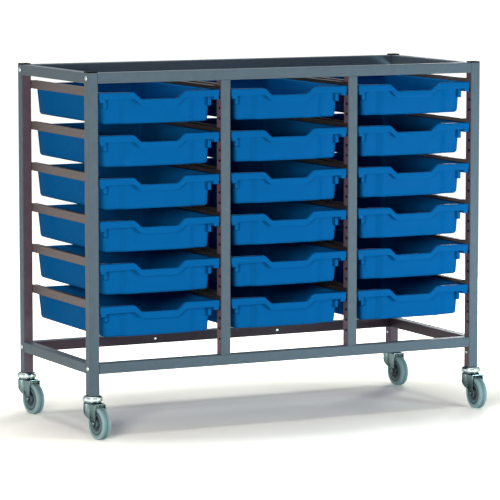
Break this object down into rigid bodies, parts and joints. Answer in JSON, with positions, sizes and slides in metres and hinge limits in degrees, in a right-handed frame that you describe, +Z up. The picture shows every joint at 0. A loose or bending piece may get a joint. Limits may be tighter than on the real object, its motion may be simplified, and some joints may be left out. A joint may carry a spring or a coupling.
{
  "type": "classroom tray storage trolley",
  "caption": "Low open-frame storage trolley on swivel castors, with bays of shallow pull-out trays hung on slotted posts and runners.",
  "frame": {"origin": "on the floor, under the middle of the bounding box", "axes": "+X to the right along the rails, +Y to the back, +Z up; the trays pull out towards -Y"},
  "size_m": [1.0678, 0.4972, 0.857],
  "materials": {
    "frame_steel": "slate grey powder coat, satin",
    "tray_plastic": "moulded polypropylene, soft gloss",
    "cap_plastic": "matte black",
    "insert_plastic": "matte black",
    "screw_zinc": "bright zinc plated",
    "castor_zinc": "bright zinc plated pressings",
    "hub_plastic": "grey moulded nylon",
    "tyre_rubber": "light grey non-marking rubber"
  },
  "bodies": {
    "root": {"post_front_left": "frame_steel", "post_front_right": "frame_steel", "post_back_left": "frame_steel", "post_back_right": "frame_steel", "divider_front_left": "frame_steel", "divider_front_right": "frame_steel", "divider_back_left": "frame_steel", "divider_back_right": "frame_steel", "rail_top_front": "frame_steel", "rail_top_back": "frame_steel", "rail_top_left": "frame_steel", "rail_top_right": "frame_steel", "rail_bottom_front": "frame_steel", "rail_bottom_back": "frame_steel", "rail_bottom_left": "frame_steel", "rail_bottom_right": "frame_steel", "post_caps": "cap_plastic", "rail_screws": "screw_zinc", "rail_inserts": "insert_plastic", "divider_screws": "screw_zinc", "castor_lock_screws": "screw_zinc", "castor_cups": "castor_zinc", "castor_stems": "castor_zinc", "runners_left_bay": "frame_steel", "runners_middle_bay": "frame_steel", "runners_right_bay": "frame_steel"},
    "tray_left_1": {"tray_left_1": "tray_plastic"},
    "tray_left_2": {"tray_left_2": "tray_plastic"},
    "tray_left_3": {"tray_left_3": "tray_plastic"},
    "tray_left_4": {"tray_left_4": "tray_plastic"},
    "tray_left_5": {"tray_left_5": "tray_plastic"},
    "tray_left_6": {"tray_left_6": "tray_plastic"},
    "tray_middle_1": {"tray_middle_1": "tray_plastic"},
    "tray_middle_2": {"tray_middle_2": "tray_plastic"},
    "tray_middle_3": {"tray_middle_3": "tray_plastic"},
    "tray_middle_4": {"tray_middle_4": "tray_plastic"},
    "tray_middle_5": {"tray_middle_5": "tray_plastic"},
    "tray_middle_6": {"tray_middle_6": "tray_plastic"},
    "tray_right_1": {"tray_right_1": "tray_plastic"},
    "tray_right_2": {"tray_right_2": "tray_plastic"},
    "tray_right_3": {"tray_right_3": "tray_plastic"},
    "tray_right_4": {"tray_right_4": "tray_plastic"},
    "tray_right_5": {"tray_right_5": "tray_plastic"},
    "tray_right_6": {"tray_right_6": "tray_plastic"},
    "swivel_front_left": {"castor_fork_front_left": "castor_zinc", "castor_axle_front_left": "castor_zinc"},
    "wheel_front_left": {"castor_hub_front_left": "hub_plastic", "castor_tyre_front_left": "tyre_rubber"},
    "swivel_front_right": {"castor_fork_front_right": "castor_zinc", "castor_axle_front_right": "castor_zinc"},
    "wheel_front_right": {"castor_hub_front_right": "hub_plastic", "castor_tyre_front_right": "tyre_rubber"},
    "swivel_back_left": {"castor_fork_back_left": "castor_zinc", "castor_axle_back_left": "castor_zinc"},
    "wheel_back_left": {"castor_hub_back_left": "hub_plastic", "castor_tyre_back_left": "tyre_rubber"},
    "swivel_back_right": {"castor_fork_back_right": "castor_zinc", "castor_axle_back_right": "castor_zinc"},
    "wheel_back_right": {"castor_hub_back_right": "hub_plastic", "castor_tyre_back_right": "tyre_rubber"}
  },
  "joints": [
    {"name": "tray_left_1_slide", "type": "slide", "parent": "root", "child": "tray_left_1", "axis": [0, -1, 0], "range_m": [0, 0.36]},
    {"name": "tray_left_2_slide", "type": "slide", "parent": "root", "child": "tray_left_2", "axis": [0, -1, 0], "range_m": [0, 0.36]},
    {"name": "tray_left_3_slide", "type": "slide", "parent": "root", "child": "tray_left_3", "axis": [0, -1, 0], "range_m": [0, 0.36]},
    {"name": "tray_left_4_slide", "type": "slide", "parent": "root", "child": "tray_left_4", "axis": [0, -1, 0], "range_m": [0, 0.36]},
    {"name": "tray_left_5_slide", "type": "slide", "parent": "root", "child": "tray_left_5", "axis": [0, -1, 0], "range_m": [0, 0.36]},
    {"name": "tray_left_6_slide", "type": "slide", "parent": "root", "child": "tray_left_6", "axis": [0, -1, 0], "range_m": [0, 0.36]},
    {"name": "tray_middle_1_slide", "type": "slide", "parent": "root", "child": "tray_middle_1", "axis": [0, -1, 0], "range_m": [0, 0.36]},
    {"name": "tray_middle_2_slide", "type": "slide", "parent": "root", "child": "tray_middle_2", "axis": [0, -1, 0], "range_m": [0, 0.36]},
    {"name": "tray_middle_3_slide", "type": "slide", "parent": "root", "child": "tray_middle_3", "axis": [0, -1, 0], "range_m": [0, 0.36]},
    {"name": "tray_middle_4_slide", "type": "slide", "parent": "root", "child": "tray_middle_4", "axis": [0, -1, 0], "range_m": [0, 0.36]},
    {"name": "tray_middle_5_slide", "type": "slide", "parent": "root", "child": "tray_middle_5", "axis": [0, -1, 0], "range_m": [0, 0.36]},
    {"name": "tray_middle_6_slide", "type": "slide", "parent": "root", "child": "tray_middle_6", "axis": [0, -1, 0], "range_m": [0, 0.36]},
    {"name": "tray_right_1_slide", "type": "slide", "parent": "root", "child": "tray_right_1", "axis": [0, -1, 0], "range_m": [0, 0.36]},
    {"name": "tray_right_2_slide", "type": "slide", "parent": "root", "child": "tray_right_2", "axis": [0, -1, 0], "range_m": [0, 0.36]},
    {"name": "tray_right_3_slide", "type": "slide", "parent": "root", "child": "tray_right_3", "axis": [0, -1, 0], "range_m": [0, 0.36]},
    {"name": "tray_right_4_slide", "type": "slide", "parent": "root", "child": "tray_right_4", "axis": [0, -1, 0], "range_m": [0, 0.36]},
    {"name": "tray_right_5_slide", "type": "slide", "parent": "root", "child": "tray_right_5", "axis": [0, -1, 0], "range_m": [0, 0.36]},
    {"name": "tray_right_6_slide", "type": "slide", "parent": "root", "child": "tray_right_6", "axis": [0, -1, 0], "range_m": [0, 0.36]},
    {"name": "swivel_front_left_turn", "type": "hinge", "parent": "root", "child": "swivel_front_left", "pos_m": [-0.5109, -0.17943, 0.087], "axis": [0, 0, 1], "continuous": true},
    {"name": "wheel_front_left_roll", "type": "hinge", "parent": "swivel_front_left", "child": "wheel_front_left", "pos_m": [-0.50766, -0.21026, 0.0375], "axis": [0.9945, 0.1045, 0], "continuous": true},
    {"name": "swivel_front_right_turn", "type": "hinge", "parent": "root", "child": "swivel_front_right", "pos_m": [0.5109, -0.17943, 0.087], "axis": [0, 0, 1], "continuous": true},
    {"name": "wheel_front_right_roll", "type": "hinge", "parent": "swivel_front_right", "child": "wheel_front_right", "pos_m": [0.50982, -0.21041, 0.0375], "axis": [0.9994, -0.0349, 0], "continuous": true},
    {"name": "swivel_back_left_turn", "type": "hinge", "parent": "root", "child": "swivel_back_left", "pos_m": [-0.5109, 0.22557, 0.087], "axis": [0, 0, 1], "continuous": true},
    {"name": "wheel_back_left_roll", "type": "hinge", "parent": "swivel_back_left", "child": "wheel_back_left", "pos_m": [-0.50659, 0.19487, 0.0375], "axis": [0.9903, 0.1392, 0], "continuous": true},
    {"name": "swivel_back_right_turn", "type": "hinge", "parent": "root", "child": "swivel_back_right", "pos_m": [0.5109, 0.22557, 0.087], "axis": [0, 0, 1], "continuous": true},
    {"name": "wheel_back_right_roll", "type": "hinge", "parent": "swivel_back_right", "child": "wheel_back_right", "pos_m": [0.51198, 0.19459, 0.0375], "axis": [0.9994, 0.0349, 0], "continuous": true}
  ]
}
